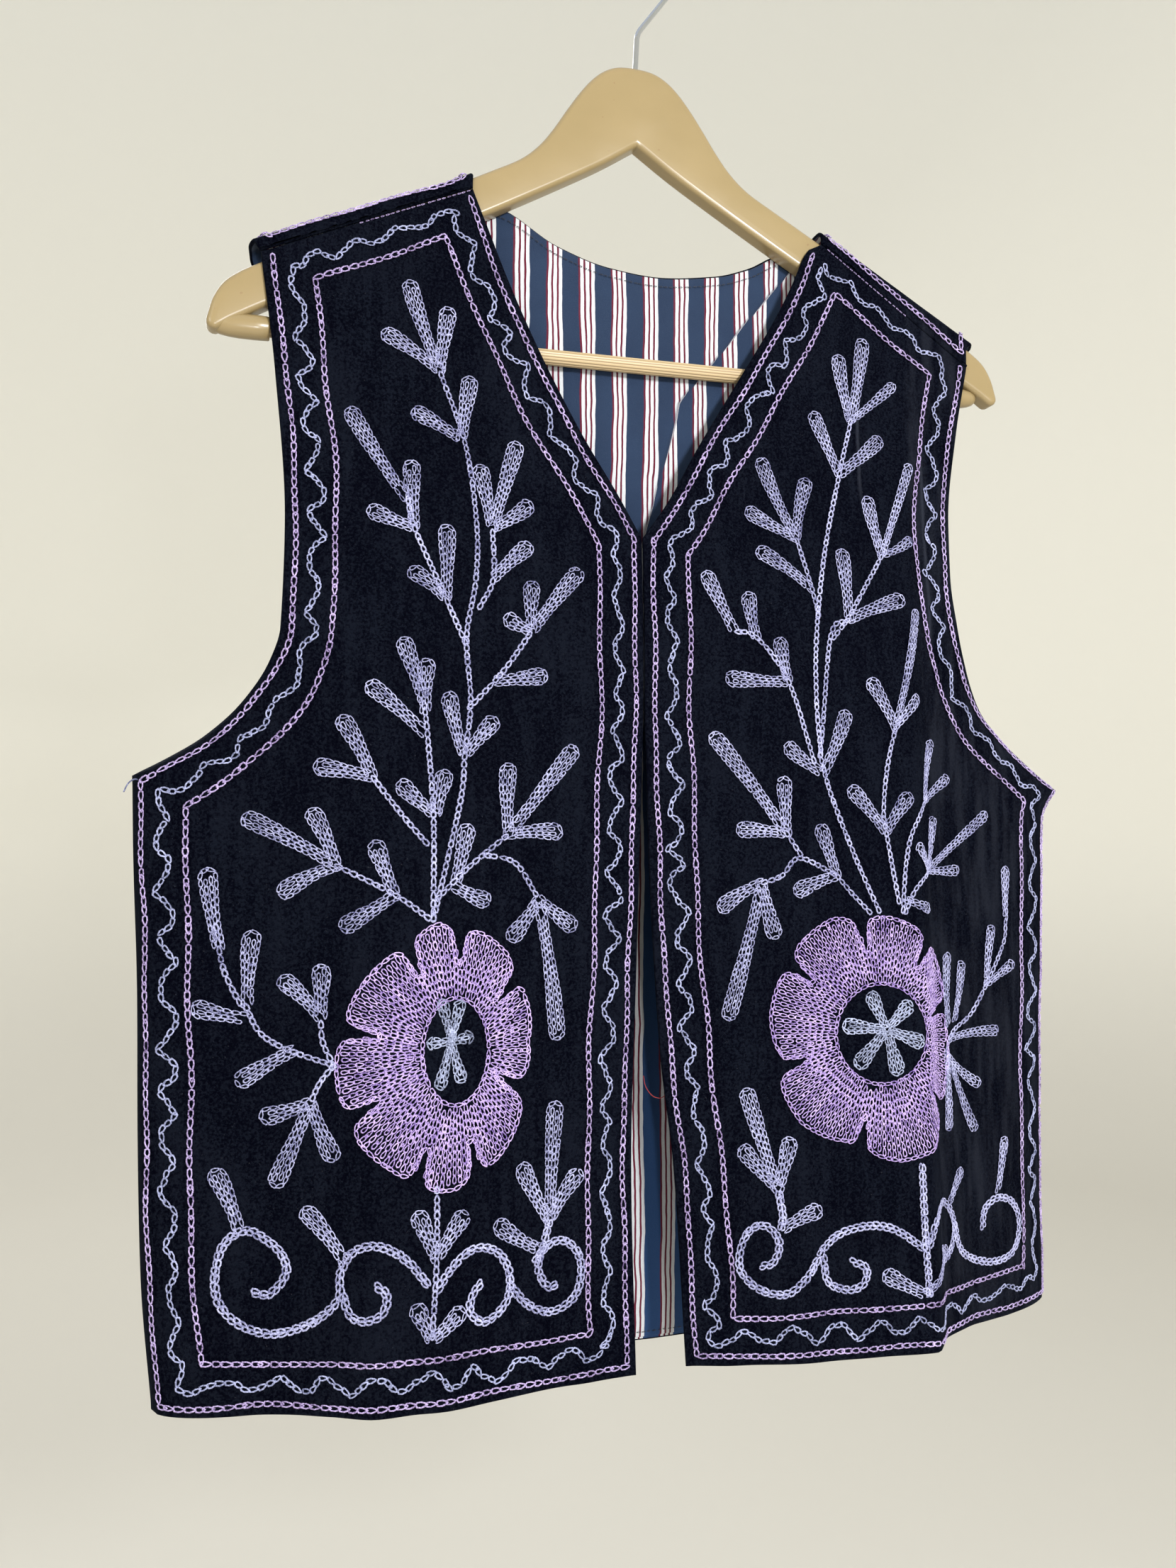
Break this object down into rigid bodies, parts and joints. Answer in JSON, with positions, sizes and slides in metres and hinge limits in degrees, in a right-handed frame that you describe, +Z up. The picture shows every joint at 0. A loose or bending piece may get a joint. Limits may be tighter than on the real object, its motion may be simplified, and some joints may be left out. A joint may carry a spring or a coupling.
{
  "type": "embroidered folk vest on a clothes hanger",
  "caption": "Sleeveless velvet folk vest, open at the front, chain-stitched in lilac and grey, hung on a beige contoured hanger with a steel hook.",
  "frame": {"origin": "inside of the hook's crown, where a rail bears; the vest hangs below it", "axes": "+Z up, +X to the right of somebody who looks at the fronts, +Y from the fronts to the back"},
  "size_m": [0.517, 0.0668, 0.7671],
  "materials": {
    "velvet": "black cotton velvet with crushed nap, embroidered in lilac and grey chain stitch",
    "striped_cotton": "matte navy cotton with groups of white and maroon stripes",
    "lacquered_board": "glossy beige lacquer",
    "bar_wood": "pale ribbed wood",
    "hook_steel": "bright plated wire"
  },
  "bodies": {
    "root": {"front_right": "velvet", "front_left": "velvet", "back": "velvet", "back_lining": "striped_cotton", "hanger_board": "lacquered_board", "hanger_bar": "bar_wood", "hanger_hook": "hook_steel"}
  },
  "joints": []
}
